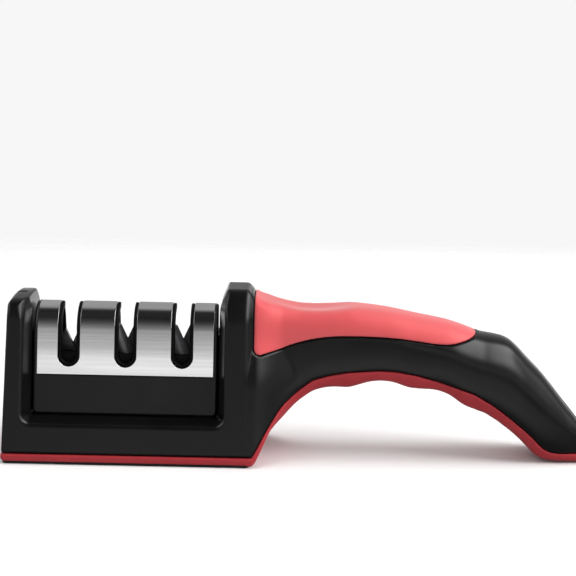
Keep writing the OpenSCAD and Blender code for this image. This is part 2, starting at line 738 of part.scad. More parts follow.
// A flat blade with a pointed upper end and a hole for its screw
blade_low_h = chamber_low_h + element_lift;
blade_point = 4;
pivot_h = coarse_vee_h - blade_w/2/sin(vee_half);
blade_screw_d = 2.2;
module blade(grow, hole_d) {
    length = (blade_top_h - blade_low_h - blade_w/2*sin(vee_half))/cos(vee_half);
    difference() {
        translate([0, grow - seam, 0])
            leaning(slot_places[0], coarse_vee_h, blade_w/2, blade_low_h)
                rotate([90, 0, 0])
                    linear_extrude(blade_t + 2*grow) polygon([
                        [-blade_w/2 - grow, -grow], [blade_w/2 + grow, -grow],
                        [blade_w/2 + grow, length], [-blade_w/2 - grow, length - blade_point]]);
        translate([slot_places[0], overrun, pivot_h])
            rotate([90, 0, 0])
                cylinder(h = blade_t + 3*overrun, d = hole_d, $fn = fine_fn);
    }
}
module rod_seat(x) {
    difference() {
        seat_block(x);
        rod(x, bore_gap, rod_low_h - bore_gap, rod_top_h);
        translate([2*x, 0, 0]) rotate([0, 0, 180])
            rod(x, bore_gap, rod_low_h - bore_gap, rod_top_h);
    }
}
module coarse_seat() {
    x = slot_places[0];
    color([0.2, 0.2, 0.21]) difference() {
        seat_block(x);
        blade(bore_gap, 0);
        translate([2*x, 0, 0]) rotate([0, 0, 180]) blade(bore_gap, 0);
        translate([x, blade_head_y, pivot_h]) rotate([90, 0, 0]) {
            cylinder(h = 2*blade_head_y, d = blade_screw_d + 2*bore_gap, $fn = fine_fn);
            translate([0, 0, -overrun])
                cylinder(h = overrun + small_head_t, d = small_head_d + 2*seam, $fn = fine_fn);
        }
    }
}
module medium_seat() {
    color([0.2, 0.2, 0.21]) rod_seat(slot_places[1]);
}
module fine_seat() {
    color([0.2, 0.2, 0.21]) rod_seat(slot_places[2]);
}
module carbide_blade_front() {
    color([0.35, 0.35, 0.37]) blade(0, blade_screw_d + 2*bore_gap);
}
module carbide_blade_rear() {
    color([0.35, 0.35, 0.37]) translate([2*slot_places[0], 0, 0]) rotate([0, 0, 180])
        blade(0, blade_screw_d + 2*bore_gap);
}
module blade_screw() {
    color([0.75, 0.75, 0.77])
        translate([slot_places[0], blade_head_y, pivot_h]) rotate([90, 0, 0])
            screw(2*blade_head_y - seam, blade_screw_d, small_head_d, small_head_t - seam);
}
module diamond_rod_front() {
    color([0.3, 0.3, 0.31]) rod(slot_places[1], 0, rod_low_h, rod_top_h);
}
module diamond_rod_rear() {
    color([0.3, 0.3, 0.31]) translate([2*slot_places[1], 0, 0]) rotate([0, 0, 180])
        rod(slot_places[1], 0, rod_low_h, rod_top_h);
}
module ceramic_rod_front() {
    color([0.25, 0.25, 0.26]) rod(slot_places[2], 0, rod_low_h, rod_top_h);
}
module ceramic_rod_rear() {
    color([0.25, 0.25, 0.26]) translate([2*slot_places[2], 0, 0]) rotate([0, 0, 180])
        rod(slot_places[2], 0, rod_low_h, rod_top_h);
}

body_shell();
bottom_frame();
base_pad();
top_grip();
base_screws();
handle_screws();
steel_cover();
cartridge_front();
cartridge_rear();
cartridge_screws();
coarse_seat();
medium_seat();
fine_seat();
carbide_blade_front();
carbide_blade_rear();
blade_screw();
diamond_rod_front();
diamond_rod_rear();
ceramic_rod_front();
ceramic_rod_rear();
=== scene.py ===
import math

import bmesh
import bpy
import numpy as np
from mathutils import Matrix, Vector


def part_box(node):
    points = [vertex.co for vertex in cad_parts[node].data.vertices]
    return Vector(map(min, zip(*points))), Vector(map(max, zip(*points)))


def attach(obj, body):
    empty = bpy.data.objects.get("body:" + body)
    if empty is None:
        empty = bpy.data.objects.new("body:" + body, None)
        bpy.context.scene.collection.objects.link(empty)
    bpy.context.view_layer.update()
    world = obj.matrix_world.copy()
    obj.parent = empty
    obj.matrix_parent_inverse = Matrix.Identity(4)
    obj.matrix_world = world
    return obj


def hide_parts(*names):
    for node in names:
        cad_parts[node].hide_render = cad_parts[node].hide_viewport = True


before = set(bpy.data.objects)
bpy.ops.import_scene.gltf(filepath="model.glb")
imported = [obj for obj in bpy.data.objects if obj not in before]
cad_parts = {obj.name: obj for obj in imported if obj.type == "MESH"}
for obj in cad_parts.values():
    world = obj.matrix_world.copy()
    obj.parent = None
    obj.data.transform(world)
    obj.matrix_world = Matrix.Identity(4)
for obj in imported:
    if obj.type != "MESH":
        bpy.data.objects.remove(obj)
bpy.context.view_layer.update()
mm = 0.001
print("frame loaded:", len(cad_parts), "nodes")


def boxInMm(node):
    low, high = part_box(node)
    return [value / mm for value in low], [value / mm for value in high]


# Camera: the photograph looks at the front face from a little above

cameraView = {
    "lookAt": (-0.0063, 0.0, 0.058),
    "distance": 0.51,
    "elevation": 10.5,
    "roll": 1.2,
    "focalPixels": 1475,
    "imagePixels": 576,
    "sensorWidth": 36,
    "clip": (0.01, 20),
}


def makeCamera(view):
    lift, roll = math.radians(view["elevation"]), math.radians(view["roll"])
    back = Vector((0, -math.cos(lift), math.sin(lift)))
    level = Vector((1, 0, 0))
    upright = back.cross(level)
    right = level * math.cos(roll) + upright * math.sin(roll)
    up = upright * math.cos(roll) - level * math.sin(roll)
    data = bpy.data.cameras.new("photoCamera")
    data.sensor_fit = "HORIZONTAL"
    data.sensor_width = view["sensorWidth"]
    data.lens = data.sensor_width * view["focalPixels"] / view["imagePixels"]
    data.clip_start, data.clip_end = view["clip"]
    camera = bpy.data.objects.new("photoCamera", data)
    place = Vector(view["lookAt"]) + back * view["distance"]
    turn = Matrix((right, up, back)).transposed()
    camera.matrix_world = Matrix.Translation(place) @ turn.to_4x4()
    bpy.context.scene.collection.objects.link(camera)
    bpy.context.scene.camera = camera


makeCamera(cameraView)


# Meshes from distance fields, in millimetres. A field is below zero inside the piece.


def roundMax(a, b, r):
    # both fields at once, with the edge between them rounded
    return np.minimum(-r, np.maximum(a, b)) + np.hypot(np.maximum(r + a, 0), np.maximum(r + b, 0))


def roundMin(a, b, r):
    # either field, with the corner between them filled
    return np.maximum(r, np.minimum(a, b)) - np.hypot(np.maximum(r - a, 0), np.maximum(r - b, 0))


def eased(t):
    t = np.clip(t, 0, 1)
    return t * t * (3 - 2 * t)


def mixed(a, b, t):
    return a + (b - a) * t


def gridAxes(low, high, step):
    # three open arrays that numpy spreads over the whole block
    pad = 3 * step
    counts = [int(math.ceil((b - a + 2 * pad) / step)) + 1 for a, b in zip(low, high)]
    lines = [(a - pad + step * np.arange(n)).astype(np.float32) for a, n in zip(low, counts)]
    x, y, z = np.meshgrid(*lines, indexing="ij", sparse=True)
    return x, y, z


def evenField(field, step, gentlest=0.25):
    # divides a field by its slope, so that roundings keep their radius
    slopes = np.gradient(field, step)
    steep = np.sqrt(sum(slope * slope for slope in slopes))
    return field / np.maximum(steep, gentlest)


def cellsAround(edges, axis):
    # the four cells that share each edge along the axis, in the order of a face's corners
    u, v = (axis + 1) % 3, (axis + 2) % 3
    for du, dv in ((1, 1), (0, 1), (0, 0), (1, 0)):
        cell = edges.copy()
        cell[:, u] -= du
        cell[:, v] -= dv
        yield cell


def netPoints(field):
    # one point in every cell that the surface crosses, the mean of its crossed edges
    cells = [n - 1 for n in field.shape]
    total = [np.zeros(cells[0] * cells[1] * cells[2]) for _ in range(3)]
    count = np.zeros(cells[0] * cells[1] * cells[2])
    inside = field < 0
    crossings = []
    for axis in range(3):
        near = [slice(None)] * 3
        far = [slice(None)] * 3
        near[axis], far[axis] = slice(0, -1), slice(1, None)
        near, far = tuple(near), tuple(far)
        edges = np.argwhere(inside[near] != inside[far])
        a, b = field[near][tuple(edges.T)], field[far][tuple(edges.T)]
        spot = edges.astype(float)
        spot[:, axis] += a / (a - b)
        crossings.append((edges, inside[near][tuple(edges.T)]))
        for cell in cellsAround(edges, axis):
            good = ((cell >= 0) & (cell < cells)).all(1)
            flat = np.ravel_multi_index(tuple(cell[good].T), cells)
            count += np.bincount(flat, minlength=count.size)
            for k in range(3):
                total[k] += np.bincount(flat, weights=spot[good, k], minlength=count.size)
    return cells, total, count, crossings


def surfaceNet(field, low, step):
    # the points and the four-sided faces of the surface where the field is zero
    cells, total, count, crossings = netPoints(field)
    used = np.flatnonzero(count)
    number = np.full(count.size, -1)
    number[used] = np.arange(used.size)
    points = np.stack([total[k][used] / count[used] for k in range(3)], 1) * step + np.array(low)
    faces = []
    for axis, (edges, starts) in enumerate(crossings):
        ring = [
            number[np.ravel_multi_index(tuple(cell.T), cells, mode="clip")]
            for cell in cellsAround(edges, axis)]
        quad = np.stack(ring, 1)
        quad[~starts] = quad[~starts, ::-1]
        faces.append(quad)
    return points, np.concatenate(faces)


def newPiece(name, points, faces):
    mesh = bpy.data.meshes.new(name)
    mesh.from_pydata((np.asarray(points) * mm).tolist(), [], np.asarray(faces).tolist())
    mesh.update()
    piece = bpy.data.objects.new(name, mesh)
    bpy.context.scene.collection.objects.link(piece)
    return piece


def fieldPiece(name, field, axes, step):
    low = [float(axis.min()) for axis in axes]
    points, faces = surfaceNet(field, low, step)
    piece = newPiece(name, points, faces)
    piece.data.shade_smooth()
    print(name, "has", len(faces), "faces")
    return piece


# Handle lines in side view, in millimetres, read off the photograph and set to their depth

handle = {
    "root": -17.5,
    "end": 102.5,
    "seamX": -17.4,
    "crown": [
        (-22, 59.2), (-18.1, 57.2), (-15.4, 55.2), (-11, 53.9), (-6, 52.9), (-2, 52.2), (4, 52.1),
        (9, 52.4), (15.5, 52.9), (22.5, 52.4), (28, 51.8), (33, 50.9), (38.5, 49.8), (44, 48.9),
        (49, 47.9), (54, 46.4), (57.5, 45.1), (61, 43.9), (65, 43.3), (68.6, 42.6), (71.2, 41.5),
        (73.8, 39.3), (77.5, 35.4), (82.4, 30.5), (86.7, 25.4), (90.9, 20.1), (93.4, 17.2),
        (97.5, 12), (100, 8.8), (102.6, 6.2)],
    "joint": [
        (-22, -3), (-18.5, 2), (-17.6, 3.5), (-15.5, 7), (-13.1, 11.6), (-8.2, 19.2), (-2.8, 23.9),
        (2.5, 28.1), (8.4, 29.9), (15.2, 31.2), (25, 31.9), (31.6, 31.8), (38.3, 30.7), (45, 28.9),
        (51.6, 26.8), (58.2, 24.6), (63.6, 21.5), (68, 18.5), (71.8, 15.5), (75.9, 12.2),
        (79.4, 9.1), (82.2, 6), (85, 4.4), (88, 3.9), (104, 3.9)],
    "under": [
        (-22, -6), (-17.9, -0.8), (-15.5, 2.8), (-13.5, 6.4), (-11.5, 9.4), (-9.5, 11.5),
        (-7.4, 13.6), (-5.4, 15.8), (-3.4, 18), (-1.4, 19.8), (0.7, 21.3), (2.7, 22.8),
        (4.7, 23.5), (7.5, 24.2), (10.9, 24.4), (15, 24.2), (17.1, 24.7), (20, 25.7),
        (23.2, 26.6), (26.5, 26.9), (29.4, 26.7), (31.5, 26.3), (33.6, 25.5), (36, 24.7),
        (39, 24.4), (43.9, 24.3), (46.5, 23.9), (48.6, 23.2), (50.2, 22.5), (52.3, 21.1),
        (54.4, 19.5), (56.6, 18.3), (58.6, 17.7), (60.8, 16.8), (62.9, 16.2), (65, 14.8),
        (67.1, 13.6), (69.3, 11.9), (71.4, 10.4), (75, 7.4), (78.4, 4), (80.2, 2), (82.5, 0.6),
        (86, 0), (104, 0)],
    "grip": [
        (-22, 38), (-17.9, 37.4), (-15.6, 37.4), (-12, 38.3), (-8.6, 39.2), (-5.2, 40.6),
        (-1.8, 41.7), (1.6, 42.6), (6.7, 43.5), (11.8, 43.9), (18.6, 44), (25.4, 43.8),
        (32.2, 43.4), (39.1, 42.5), (44.2, 41.8), (48.9, 41.6), (51.6, 42), (55.5, 42.9),
        (58.5, 44), (60.3, 45.2), (63, 49), (104, 90)],
    "halfWidth": [
        (-22, 13), (-9, 12.5), (0, 12.3), (12, 12.2), (27, 12.3), (40, 12.8), (52, 13.2),
        (65, 13.1), (75, 12.8), (85, 12), (92, 11.2), (97, 10.3), (100, 9.3), (102.5, 7.5)],
    "topPower": [(-22, 5), (-9, 4.6), (3, 4.2), (14, 3.8), (25, 3), (45, 2.5), (90, 2.6), (104, 3)],
    "lowPower": [(-22, 5), (-5, 4), (10, 3.3), (60, 3.2), (78, 3.6), (88, 5), (104, 5)],
    "lineSoftness": 0.8,
    "lineStep": 0.1,
    "lineBeyond": 6,
    "flareLow": 17,
    "flareHigh": 10,
    "flareTurn": (26, 44),
    "gripInset": 1.2,
    "gripThick": 2,
    "gripCorner": 2.2,
    "seam": 0.3,
    "seamRound": 0.4,
    "dishMiddle": 3,
    "dishReach": 15,
    "dishRim": 9.5,
    "dishDepth": 1,
    "endRound": 1.6,
    "crownRound": 2.5,
    "underRound": 1.5,
    "overlap": 3,
    "join": 0.3,
}


def lineAlong(name, x):
    # the named line at every x, softened so that its points don't show
    marks = np.array(handle[name], float)
    step, beyond, softness = handle["lineStep"], handle["lineBeyond"], handle["lineSoftness"]
    fine = np.arange(marks[0, 0] - beyond, marks[-1, 0] + beyond, step)
    values = np.interp(fine, marks[:, 0], marks[:, 1])
    reach = 5 * softness
    window = np.exp(-0.5 * (np.arange(-reach, reach + step / 2, step) / softness) ** 2)
    padded = np.pad(values, len(window) // 2, mode="edge")
    soft = np.convolve(padded, window / window.sum(), mode="valid")[: len(fine)]
    return np.interp(x, fine, soft).astype(np.float32)


# The block: nose upright, arm upright and the bar between them

block = {
    "left": -102.5,
    "nose": -102.1,
    "low": 3.5,
    "width": 23.1,
    "draft": math.radians(10.5),
    "noseDraft": math.radians(1.3),
    "noseTop": 54.9,
    "noseCrown": 0.5,
    "noseCrownAt": 10,
    "armTop": 58.5,
    "noseRound": 2,
    "shoulderFrom": 48,
    "shoulderRound": 15.5,
    "nosePlanRound": 1,
    "armPlanRound": 3.2,
    "edgeRound": 0.5,
    "rimRound": 0.9,
    "pocketLow": -93.3,
    "pocketHigh": -29.4,
    "floor": 14.9,
    "borderSide": 2.3,
    "borderDrop": 1.5,
    "borderCorner": 3.4,
    "borderReach": 1.3,
    "innerCorner": 0.4,
    "noseSlope": (1.3, 4),
    "armSlope": (2.6, 6),
    "armChamfer": 2.3,
    "leanFrom": 30,
    "slitY": 0.4,
    "slitFrom": -100,
    "slitLength": 3.6,
    "slitHalf": 0.7,
    "slitDepth": 1.6,
    "ribWidth": 5,
    "ribThick": 2,
    "ribTop": 41.2,
    "ribSink": 1,
}


def draftedFace(y, z, width, low, draft):
    # two faces that lean towards each other, each the width away from the middle at the low height
    return (np.abs(y) - width) * math.cos(draft) + (z - low) * math.sin(draft)


def blockFaceY(z):
    return block["width"] - (z - block["low"]) * math.tan(block["draft"])


def blockEnd(y, z):
    # sloped faces that turn into a large round shoulder near the top
    draft, r = block["draft"], block["shoulderRound"]
    flat = draftedFace(y, z, block["width"], block["low"], draft)
    middleY = blockFaceY(block["shoulderFrom"]) - r * math.cos(draft)
    middleZ = block["shoulderFrom"] - r * math.sin(draft)
    turned = np.hypot(np.abs(y) - middleY, z - middleZ) - r
    above = (z - middleZ) > (np.abs(y) - middleY) * math.tan(draft)
    return np.where(above, turned, flat)


cartridge = {
    "middle": -61.35,
    "halfLength": 31.35,
    "low": 15.4,
    "lowCorner": 1.4,
    "archHeight": 42.45,
    "archRound": 9.6,
    "draft": math.radians(9.5),
    "slotPitch": 19.35,
    "coverHalf": 30.1,
    "coverLow": 28.7,
    "coverThick": 0.5,
    "coverGap": 0.08,
    "steelSlot": 7.6,
    "steelSlotLow": 31.3,
    "lipSlot": 5.05,
    "rearSlot": 11.2,
    "rearRelief": 0.7,
    "wall": 1.8,
    "endWall": 3.2,
    "endBlock": 8,
    "chamberLow": 23,
    "chamberFloor": 1.6,
    "postWidth": 5.4,
    "postHeight": 40,
    "divider": 1.6,
    "screwHeight": 19.5,
    "screwHole": 2.1,
    "screwSeat": 1.2,
    "edgeRound": 0.35,
    "endRound": 0.6,
    "coverSeatRound": 0.15,
    "grooveGap": 0.3,
    "grooveDepth": 1.7,
    "halfGap": 0.05,
    "halfRound": 0.2,
}


def cartridgeSideY(z):
    slope = cartridge["draft"]
    return cartridge["archRound"] / math.cos(slope) - (z - cartridge["archHeight"]) * math.tan(slope)


def archField(y, z, inset=0.0):
    # an arch with sloped sides, as a section in y and z
    slope, r = cartridge["draft"], cartridge["archRound"] - inset
    over = z - cartridge["archHeight"]
    turned = np.hypot(y, over) - r
    flat = draftedFace(y, z, r / math.cos(slope), cartridge["archHeight"], slope)
    return np.where(over > np.abs(y) * math.tan(slope), turned, flat)


def pocketShare(y, z):
    # how far the opening has widened on the way to the front and rear faces
    inner, outer = cartridgeSideY(z), blockFaceY(z)
    return np.clip((np.abs(y) - inner) / (outer - inner), 0, block["borderReach"])


def pocketField(x, y, z):
    share = pocketShare(y, z)
    side, drop = block["borderSide"] * share, block["borderDrop"] * share
    corner = block["borderCorner"] * share + block["innerCorner"]
    left = (block["pocketLow"] - side) - x
    right = x - (block["pocketHigh"] + side)
    bottom = (block["floor"] - drop) - z
    return roundMax(np.maximum(left, right), bottom, corner)


def leanField(inward, above, slope):
    # the slope that takes the inner corner off the top of an upright
    run, fall = slope
    return (inward * fall + (above + fall) * run) / math.hypot(run, fall)


def ribField(x, y, z):
    # guide ribs on the inner sides of both uprights
    across = np.maximum(np.abs(y) - block["ribWidth"] / 2, z - block["ribTop"])
    nearest = np.minimum(np.abs(x - block["pocketLow"]), np.abs(x - block["pocketHigh"]))
    ribs = roundMax(across, nearest - block["ribThick"], block["edgeRound"])
    return np.maximum(ribs, (block["floor"] - block["ribSink"]) - z)


def slitField(x, y, z):
    # the short slit in the top of the nose
    across = np.abs(y - block["slitY"]) - block["slitHalf"]
    slit = np.maximum(across, block["noseTop"] - block["slitDepth"] - z)
    start = block["slitFrom"]
    return np.maximum(slit, np.maximum(start - x, x - start - block["slitLength"]))


def blockField(x, y, z):
    noseX = block["nose"] + (z - block["low"]) * math.tan(block["noseDraft"])
    ends = np.maximum(noseX - x, x - handle["root"])
    middle = (block["pocketLow"] + block["pocketHigh"]) / 2
    planRound = np.where(x < middle, block["nosePlanRound"], block["armPlanRound"])
    field = roundMax(blockEnd(y, z), ends, planRound)
    side = block["borderSide"] * pocketShare(y, z)
    leanFrom = z - block["leanFrom"]
    noseTop = z - block["noseTop"] + block["noseCrown"] * (y / block["noseCrownAt"]) ** 2
    noseLean = leanField(x - block["pocketLow"] + side, z - block["noseTop"], block["noseSlope"])
    noseTop = roundMax(noseTop, np.minimum(noseLean, leanFrom), block["edgeRound"])
    armCorner = (x - handle["root"] + z - block["armTop"] + block["armChamfer"]) / math.sqrt(2)
    armTop = roundMax(z - block["armTop"], armCorner, block["edgeRound"])
    armLean = leanField(block["pocketHigh"] + side - x, z - block["armTop"], block["armSlope"])
    armTop = roundMax(armTop, np.minimum(armLean, leanFrom), block["edgeRound"])
    top = np.where(x < middle, noseTop, armTop)
    topRound = np.where(x < middle, block["noseRound"], block["edgeRound"])
    field = roundMax(field, top, topRound)
    field = roundMax(field, -pocketField(x, y, z), block["rimRound"])
    field = np.maximum(field, -slitField(x, y, z))
    return np.minimum(field, ribField(x, y, z))


def handleField(x, y, z, step):
    crown, under, half = [lineAlong(name, x) for name in ("crown", "under", "halfWidth")]
    middle, rise = (crown + under) / 2, (crown - under) / 2
    dishAlong = np.clip(1 - ((x - handle["dishMiddle"]) / handle["dishReach"]) ** 2, 0, 1)
    dishAcross = np.clip(1 - (y / handle["dishRim"]) ** 2, 0, 1)
    lowered = z + handle["dishDepth"] * dishAlong * dishAcross**2 * (z > middle)
    share = (lowered - middle) / rise
    power = np.where(share > 0, lineAlong("topPower", x), lineAlong("lowPower", x))
    swell = (np.abs(y) / half) ** power + np.abs(share) ** power
    own = (swell ** (1 / power) - 1) * np.minimum(half, rise)
    turnLow, turnHigh = handle["flareTurn"]
    upper = eased((z - turnLow) / (turnHigh - turnLow))
    root = blockEnd(y, z) + handle["gripInset"] * upper
    root = roundMax(root, lowered - crown, handle["crownRound"])
    root = roundMax(root, under - z, handle["underRound"])
    reach = mixed(handle["flareLow"], handle["flareHigh"], upper)
    flare = eased((x - handle["root"]) / reach)
    field = evenField(mixed(root, own, flare), step)
    field = np.maximum(field, handle["root"] - handle["overlap"] - x)
    return roundMax(field, x - handle["end"], handle["endRound"])


def gripRegion(x, z, grow):
    # where the soft grip lies: above its lower line and clear of the upright
    above = lineAlong("grip", x) - z
    return roundMax(above, handle["seamX"] - x, handle["gripCorner"]) - grow


# Body shell, red frame, grip and pad share one grid

bodyStep = 0.4
shellLow, shellHigh = boxInMm("body_shell")
frameLow, frameHigh = boxInMm("bottom_frame")
wholeLow = [min(a, b) for a, b in zip(shellLow, frameLow)]
wholeHigh = [max(a, b) for a, b in zip(shellHigh, frameHigh)]
axes = gridAxes(wholeLow, wholeHigh, bodyStep)
x, y, z = axes
handleSolid = handleField(x, y, z, bodyStep)
jointLine = lineAlong("joint", x)


def bodyShellField():
    seam, soft = handle["seam"], handle["seamRound"]
    solid = roundMax(handleSolid, jointLine - z + seam / 2, soft)
    gripSpace = np.maximum(gripRegion(x, z, seam), -(handleSolid + handle["gripThick"] + seam))
    solid = roundMax(solid, -gripSpace, soft)
    field = roundMin(blockField(x, y, z), solid, handle["join"])
    return np.maximum(field, block["low"] + seam / 2 - z)


tray = {
    "proud": 0.4,
    "low": 0.55,
    "sideRound": 0.4,
    "end": -102.3,
    "endRound": 1.8,
    "planRound": 1,
    "padInset": 0.7,
    "padHeight": 1.5,
    "padCorner": 1.5,
    "padGap": 0.1,
    "padLift": 0.01,
    "padRound": 0.15,
    "endPast": 0.1,
    "topRound": 0.35,
    "archFrom": -1.5,
    "archUntil": 0,
    "archRound": 0.8,
    "join": 0.6,
    "screwX": (26.28, 90.5),
    "screwHead": 2.8,
    "screwSink": 1.6,
}


def padSolid(grow):
    # the rubber sheet, set wide and dark so that it shows as a dark line under the red frame: the real
    # pad, and painted contact shade there
    inset = tray["padInset"]
    sides = np.maximum(block["left"] + inset - grow - x, x - (handle["root"] - inset + grow))
    across = np.abs(y) - (block["width"] + tray["proud"] - inset + grow)
    plan = roundMax(sides, across, tray["padCorner"])
    return np.maximum(plan, z - tray["padHeight"] - grow)


def bottomFrameField():
    seam, soft = handle["seam"], handle["seamRound"]
    solid = roundMax(handleSolid, z - jointLine + seam / 2, soft)
    wall = block["width"] + tray["proud"]
    sides = roundMax(np.abs(y) - wall, tray["low"] - z, tray["sideRound"])
    ends = np.maximum(tray["end"] - x, x - handle["root"] - tray["endPast"])
    ends = roundMax(ends, tray["low"] - z, tray["endRound"])
    plate = roundMax(sides, ends, tray["planRound"])
    plate = roundMax(plate, z - block["low"] + seam / 2, tray["topRound"])
    # the arch starts inside the plate, and its foot there is rounded like the plate's
    arch = np.maximum(solid, handle["root"] + tray["archFrom"] - x)
    nearBlock = roundMax(arch, tray["low"] - z, tray["archRound"])
    arch = np.where(x < tray["archUntil"], nearBlock, arch)
    field = np.maximum(roundMin(plate, arch, tray["join"]), np.abs(y) - wall)
    field = np.maximum(field, -padSolid(tray["padGap"]))
    for spot in tray["screwX"]:
        hole = np.hypot(x - spot, y) - tray["screwHead"]
        depth = float(lineAlong("under", np.array([spot]))[0]) + tray["screwSink"]
        field = np.maximum(field, -np.maximum(hole, z - depth))
    return field


def topGripField():
    field = roundMax(handleSolid, gripRegion(x, z, 0), handle["seamRound"])
    return np.maximum(field, -(handleSolid + handle["gripThick"]))


bodyShell = fieldPiece("bodyShell", bodyShellField(), axes, bodyStep)
bottomFrame = fieldPiece("bottomFrame", bottomFrameField(), axes, bodyStep)
topGrip = fieldPiece("topGrip", topGripField(), axes, bodyStep)
padField = roundMax(padSolid(0), tray["padLift"] - z, tray["padRound"])
basePad = fieldPiece("basePad", padField, axes, bodyStep)
print("body shell, red frame, grip and pad made")


# Cartridge halves: black plastic with three slots and a hollow inside


def slotPlaces():
    return [cartridge["middle"] + k * cartridge["slotPitch"] for k in (-1, 0, 1)]


def slotField(x, z, place, width, low):
    # a slot with a round bottom, open at the top
    middle = low + width / 2
    return np.where(z > middle, np.abs(x - place), np.hypot(x - place, z - middle)) - width / 2


def steelRegion(x, y, z, grow):
    # where the steel cover lies, with its slots
    ends = np.abs(x - cartridge["middle"]) - cartridge["coverHalf"]
    region = np.maximum(ends, cartridge["coverLow"] - z)
    for place in slotPlaces():
        cut = slotField(x, z, place, cartridge["steelSlot"], cartridge["steelSlotLow"])
        region = np.maximum(region, -cut)
    sheet = cartridge["coverThick"] + cartridge["coverGap"]
    return np.maximum(region - grow, -archField(y, z, sheet))


def cartridgeField(x, y, z):
    along = np.abs(x - cartridge["middle"])
    edge = roundMax(along - cartridge["halfLength"], cartridge["low"] - z, cartridge["lowCorner"])
    solid = roundMax(archField(y, z), edge, cartridge["endRound"])
    wall = cartridge["coverThick"] + cartridge["wall"]
    chamber = np.maximum(archField(y, z, wall), cartridge["chamberLow"] - z)
    chamber = np.maximum(chamber, along - cartridge["halfLength"] + cartridge["endWall"])
    for side in (-0.5, 0.5):
        place = cartridge["middle"] + side * cartridge["slotPitch"]
        wallHere = np.abs(x - place) - cartridge["divider"] / 2
        post = np.hypot(x - place, z - cartridge["postHeight"]) - cartridge["postWidth"] / 2
        chamber = np.maximum(chamber, -np.minimum(wallHere, post))
    solid = np.maximum(solid, -chamber)
    belowFloor = cartridge["chamberLow"] - cartridge["chamberFloor"]
    hollow = np.maximum(archField(y, z, cartridge["wall"]), z - belowFloor)
    hollow = np.maximum(hollow, along - cartridge["halfLength"] + cartridge["endBlock"])
    solid = np.maximum(solid, -hollow)
    coverSpace = steelRegion(x, y, z, cartridge["coverGap"])
    solid = roundMax(solid, -coverSpace, cartridge["coverSeatRound"])
    lipLow = cartridge["steelSlotLow"] + (cartridge["steelSlot"] - cartridge["lipSlot"]) / 2
    for place in slotPlaces():
        cut = slotField(x, z, place, cartridge["lipSlot"], lipLow)
        solid = roundMax(solid, -cut, cartridge["edgeRound"])
    gap = cartridge["grooveGap"]
    groove = np.maximum(np.abs(y) - block["ribWidth"] / 2 - gap, z - block["ribTop"] - gap)
    groove = np.maximum(groove, cartridge["halfLength"] - cartridge["grooveDepth"] - along)
    return np.maximum(solid, -groove)


cartridgeStep = 0.3
frontLow, frontHigh = boxInMm("cartridge_front")
rearLow, rearHigh = boxInMm("cartridge_rear")
cartridgeAxes = gridAxes(frontLow, [frontHigh[0], rearHigh[1], frontHigh[2]], cartridgeStep)
cartridgeSolid = cartridgeField(*cartridgeAxes)


def halfField(side):
    # the front half, or the rear half with its wide openings, end relief and screw holes
    cx, cy, cz = cartridgeAxes
    field = roundMax(cartridgeSolid, side * cy + cartridge["halfGap"], cartridge["halfRound"])
    if side > 0:
        return field
    cutLow = cartridge["steelSlotLow"] - (cartridge["rearSlot"] - cartridge["steelSlot"]) / 2
    for place in slotPlaces():
        cut = slotField(cx, cz, place, cartridge["rearSlot"], cutLow)
        field = roundMax(field, -cut, cartridge["edgeRound"])
    along = np.abs(cx - cartridge["middle"])
    relief = cartridge["halfLength"] - cartridge["rearRelief"] - along
    field = np.maximum(field, -np.maximum(relief, block["ribTop"] + cartridge["grooveGap"] - cz))
    for reach in (-1, 1):
        spot = cartridge["middle"] + reach * (cartridge["halfLength"] - cartridge["endBlock"] / 2)
        hole = np.hypot(cx - spot, cz - cartridge["screwHeight"]) - cartridge["screwHole"]
        seat = cartridgeSideY(cartridge["screwHeight"]) - cartridge["screwSeat"]
        field = np.maximum(field, -np.maximum(hole, seat - cy))
    return field


cartridgeFront = fieldPiece("cartridgeFront", halfField(1), cartridgeAxes, cartridgeStep)
cartridgeRear = fieldPiece("cartridgeRear", halfField(-1), cartridgeAxes, cartridgeStep)


# Steel cover: rows run over the arch, strips run between the slots

cover = {
    "bulge": 0.07,
    "rowsFlat": 10,
    "rowsSlot": 12,
    "rowsSide": 14,
    "rowsArch": 60,
    "stripColumns": 10,
    "weld": 0.01,
    "bevel": 0.12,
    "bevelSegments": 2,
    "bevelAngle": math.radians(50),
}


def coverRows():
    # heights and depths of the rows, from the front's lower edge over the crown to the rear's
    slope, r = cartridge["draft"], cartridge["archRound"]
    turnZ = cartridge["archHeight"] + r * math.sin(slope)
    slotLow, slotHalf = cartridge["steelSlotLow"], cartridge["steelSlot"] / 2
    below = list(np.linspace(cartridge["coverLow"], slotLow, cover["rowsFlat"]))
    beside = [
        slotLow + slotHalf - slotHalf * math.cos(k / cover["rowsSlot"] * math.pi / 2)
        for k in range(1, cover["rowsSlot"] + 1)]
    above = list(np.linspace(slotLow + slotHalf, turnZ, cover["rowsSide"] + 1))[1:-1]
    front = []
    for height in below + beside + above:
        share = (height - cartridge["coverLow"]) / (turnZ - cartridge["coverLow"])
        swell = cover["bulge"] * 4 * share * (1 - share)
        front.append((-float(cartridgeSideY(height)) - swell, height))
    arch = []
    for k in range(cover["rowsArch"] + 1):
        turn = mixed(slope, math.pi - slope, k / cover["rowsArch"])
        arch.append((-r * math.cos(turn), cartridge["archHeight"] + r * math.sin(turn)))
    rear = [(-depth, height) for depth, height in reversed(front)]
    return front + arch + rear


def slotHalfAt(height, hair=1e-6):
    # half the width of the cover's slots at a height
    half = cartridge["steelSlot"] / 2
    middle = cartridge["steelSlotLow"] + half
    if height <= cartridge["steelSlotLow"] + hair:
        return 0.0
    if height >= middle:
        return half
    return math.sqrt(max(half**2 - (height - middle) ** 2, 0))


